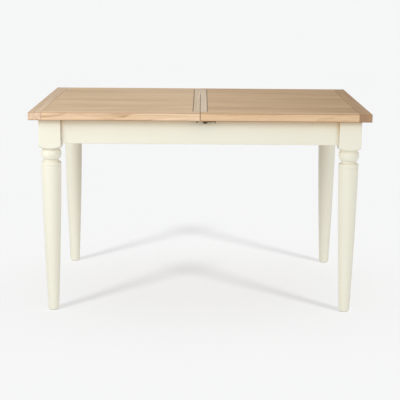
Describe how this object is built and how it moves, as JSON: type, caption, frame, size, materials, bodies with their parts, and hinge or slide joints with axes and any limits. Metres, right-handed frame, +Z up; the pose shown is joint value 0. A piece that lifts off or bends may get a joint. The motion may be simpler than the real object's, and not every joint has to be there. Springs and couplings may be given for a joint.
{
  "type": "extending dining table",
  "caption": "Rectangular dining table with turned legs, a painted frame and a split oak top that slides apart for a spare leaf stored inside.",
  "frame": {"origin": "on the floor, under the middle of the closed table", "axes": "+Z up, +X along the table to the right as seen from the front, the front is -Y"},
  "size_m": [1.27, 0.9, 0.772],
  "materials": {
    "oak": "clear satin lacquer on straight-grained oak",
    "painted_wood": "warm cream eggshell paint",
    "beech": "bare planed beech",
    "dark_bronze": "dark antique bronze plating",
    "steel": "zinc plated",
    "nylon": "off-white moulded nylon",
    "felt": "brown pressed felt",
    "slide_tape": "smooth low-friction strip"
  },
  "bodies": {
    "frame": {"apron_back": "painted_wood", "apron_dowels": "beech", "apron_front": "painted_wood", "apron_left": "painted_wood", "apron_right": "painted_wood", "bearer_brackets": "steel", "bracket_screws": "steel", "corner_block_back_left": "beech", "corner_block_back_right": "beech", "corner_block_front_left": "beech", "corner_block_front_right": "beech", "foot_glide_back_left": "nylon", "foot_glide_back_right": "nylon", "foot_glide_front_left": "nylon", "foot_glide_front_right": "nylon", "frame_screws": "steel", "guide_rail_back": "beech", "guide_rail_front": "beech", "leaf_back_rail": "oak", "leaf_bearer_left": "beech", "leaf_bearer_right": "beech", "leaf_front_rail": "oak", "leaf_panel": "oak", "leaf_pegs": "beech", "leaf_rest_pads": "felt", "leaf_stops": "beech", "leg_back_left": "painted_wood", "leg_back_right": "painted_wood", "leg_bolts": "steel", "leg_front_left": "painted_wood", "leg_front_right": "painted_wood", "leg_washers": "steel", "slide_strips": "slide_tape", "wing_nuts": "steel"},
    "left_top": {"back_lock_keeper": "dark_bronze", "front_lock_keeper": "dark_bronze", "left_back_rail": "oak", "left_back_runner": "beech", "left_centre_strip": "oak", "left_end_board": "oak", "left_front_rail": "oak", "left_front_runner": "beech", "left_panel": "oak", "left_runner_screws": "steel", "lock_keeper_screws": "dark_bronze"},
    "right_top": {"alignment_pegs": "beech", "back_lock_plate": "dark_bronze", "front_lock_plate": "dark_bronze", "lock_plate_screws": "dark_bronze", "right_back_rail": "oak", "right_back_runner": "beech", "right_centre_strip": "oak", "right_end_board": "oak", "right_front_rail": "oak", "right_front_runner": "beech", "right_panel": "oak", "right_runner_screws": "steel"},
    "front_lock_lever": {"front_lock_lever": "dark_bronze"},
    "back_lock_lever": {"back_lock_lever": "dark_bronze"}
  },
  "joints": [
    {"name": "left_top_slide", "type": "slide", "parent": "frame", "child": "left_top", "axis": [-1, 0, 0], "range_m": [0, 0.21]},
    {"name": "right_top_slide", "type": "slide", "parent": "frame", "child": "right_top", "axis": [1, 0, 0], "range_m": [0, 0.21]},
    {"name": "front_lock_turn", "type": "hinge", "parent": "right_top", "child": "front_lock_lever", "pos_m": [0.019, -0.43, 0.738], "axis": [0, 0, -1], "range_deg": [0, 180]},
    {"name": "back_lock_turn", "type": "hinge", "parent": "right_top", "child": "back_lock_lever", "pos_m": [0.019, 0.43, 0.738], "axis": [0, 0, 1], "range_deg": [0, 180]}
  ]
}
